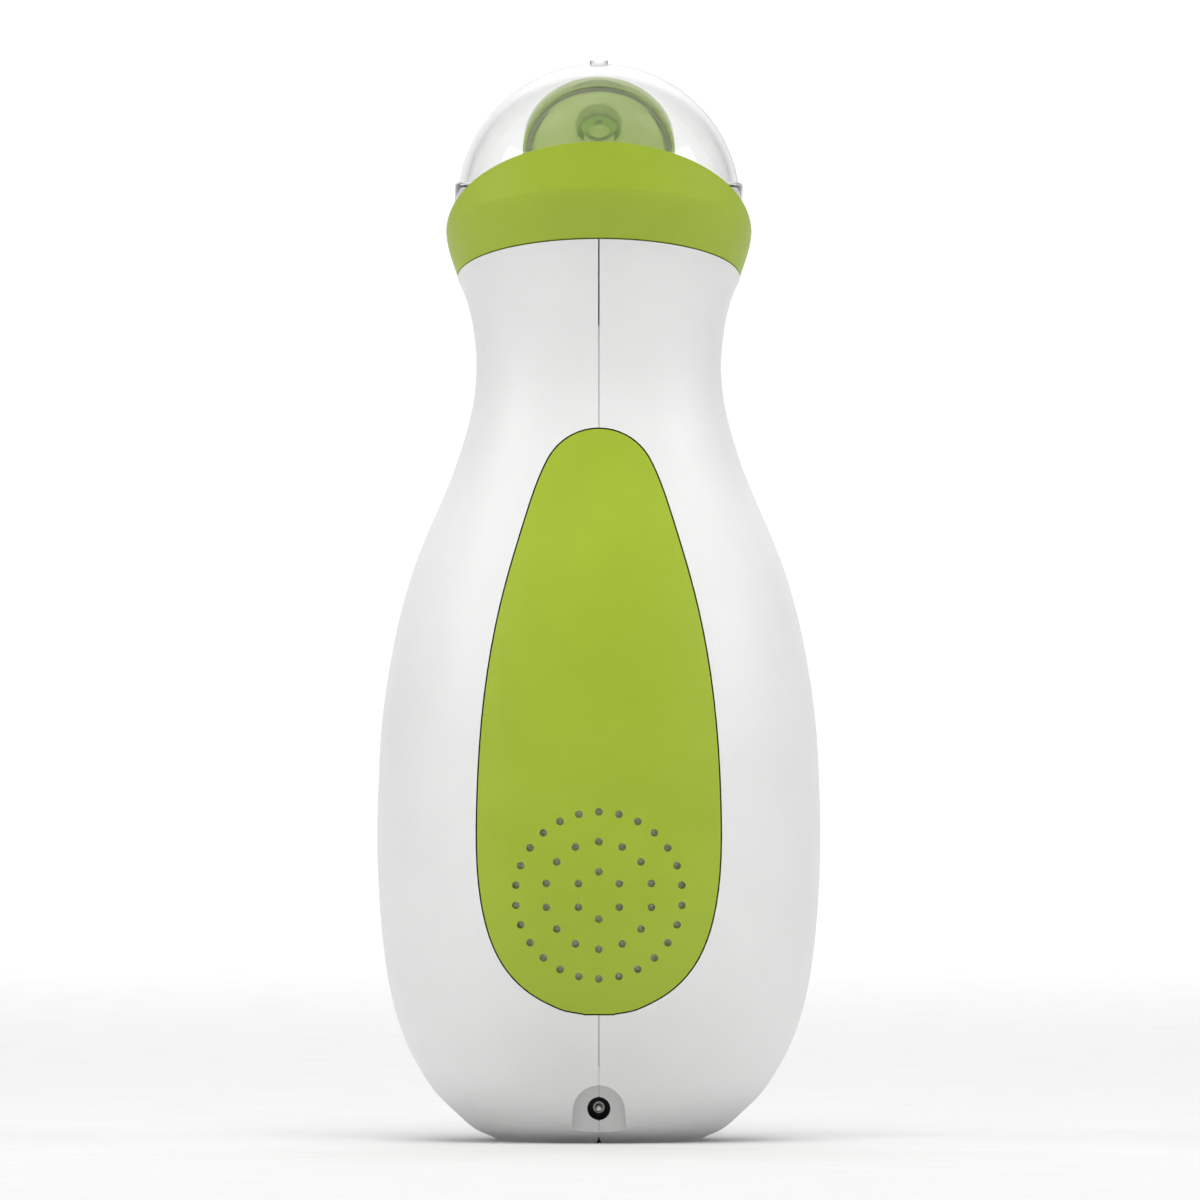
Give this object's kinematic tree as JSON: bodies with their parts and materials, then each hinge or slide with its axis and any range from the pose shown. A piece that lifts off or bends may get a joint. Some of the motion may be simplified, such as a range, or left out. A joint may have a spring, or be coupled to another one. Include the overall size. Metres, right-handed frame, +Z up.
{
  "type": "nasal aspirator",
  "caption": "Handheld battery suction pump for clearing a baby's nose: pear-shaped housing, lift-off clear cap over a leaning nozzle head, pull-off rear cover, press button.",
  "frame": {"origin": "centre of the flat base, where the housing halves meet", "axes": "+Z up the device towards the cap, +Y towards the front (power button, nozzle), -Y the back (rear cover, DC inlet), X across the housing seam"},
  "size_m": [0.077, 0.0816, 0.1873],
  "materials": {
    "housing_white": "fine satin moulding",
    "trim_green": "fine satin moulding",
    "cap_clear": "clear moulded plastic",
    "head_green": "translucent tinted plastic",
    "seal_soft": "soft silicone",
    "deck_white": "satin moulding",
    "light_guide": "frosted",
    "button_white": "satin gloss",
    "board_green": "solder mask",
    "chip_black": "moulded",
    "led_clear": "clear resin",
    "socket_black": "moulded",
    "contact_metal": "nickel plated",
    "motor_steel": "zinc plated",
    "magnet_grey": "sintered",
    "bush_brass": "turned",
    "screw_steel": "plated",
    "copper_wire": "enamelled",
    "pump_white": "moulded",
    "pump_rubber": "moulded",
    "hose_soft": "translucent silicone",
    "filter_foam": "open cell foam",
    "tray_grey": "moulded",
    "cell_wrap": "plain printed wrap",
    "wire_red": "insulated"
  },
  "bodies": {
    "housing": {"left_shell": "housing_white", "right_shell": "housing_white", "collar_ring": "trim_green", "head_deck": "deck_white", "socket_seal": "seal_soft", "light_ring": "light_guide", "circuit_board": "board_green", "board_parts": "chip_black", "board_screws": "screw_steel", "tact_switch": "chip_black", "status_leds": "led_clear", "dc_socket_body": "socket_black", "dc_pin": "contact_metal", "dc_contacts": "contact_metal", "motor_can": "motor_steel", "motor_end_cap": "socket_black", "motor_magnets": "magnet_grey", "motor_bushes": "bush_brass", "motor_terminals": "bush_brass", "motor_brushes": "magnet_grey", "motor_screws": "screw_steel", "pump_frame": "pump_white", "diaphragms": "pump_rubber", "valve_plate": "pump_white", "valve_discs": "pump_rubber", "pump_head": "pump_white", "pump_screws": "screw_steel", "pump_damper": "pump_rubber", "suction_hose": "hose_soft", "exhaust_hose": "hose_soft", "battery_tray": "tray_grey", "contact_springs": "contact_metal", "contact_plates": "contact_metal", "tray_screws": "screw_steel", "motor_wires": "wire_red", "battery_wires": "wire_red", "dc_wires": "wire_red"},
    "head": {"head_bowl": "head_green", "head_front": "head_green", "head_seal": "seal_soft"},
    "cap": {"cap_dome": "cap_clear"},
    "cells": {"battery_left": "cell_wrap", "battery_right": "cell_wrap"},
    "cover": {"rear_cover": "trim_green", "vent_filter": "filter_foam"},
    "button": {"power_button": "button_white"},
    "rotor": {"rotor_core": "motor_steel", "rotor_windings": "copper_wire", "commutator": "bush_brass", "motor_shaft": "screw_steel", "eccentric_cam": "pump_white", "slant_pin": "screw_steel"},
    "yoke": {"wobble_yoke": "pump_white"}
  },
  "joints": [
    {"name": "head_lift", "type": "slide", "parent": "housing", "child": "head", "axis": [0, 0, 1], "range_m": [0, 0.03]},
    {"name": "cap_lift", "type": "slide", "parent": "head", "child": "cap", "axis": [0, 0, 1], "range_m": [0, 0.045]},
    {"name": "cells_out", "type": "slide", "parent": "housing", "child": "cells", "axis": [0, -1, 0], "range_m": [0, 0.05]},
    {"name": "cover_off", "type": "slide", "parent": "cells", "child": "cover", "axis": [0, -1, 0], "range_m": [0, 0.03]},
    {"name": "button_press", "type": "slide", "parent": "housing", "child": "button", "axis": [0, -0.9272, -0.3746], "range_m": [0, 0.0005], "stiffness_N_per_m": 600},
    {"name": "rotor_spin", "type": "hinge", "parent": "housing", "child": "rotor", "pos_m": [0, 0.004, 0.03], "axis": [0, 0, 1], "continuous": true},
    {"name": "yoke_rock", "type": "hinge", "parent": "housing", "child": "yoke", "pos_m": [0, 0.004, 0.063], "axis": [1, 0, 0], "range_deg": [-2.5, 2.5]}
  ]
}
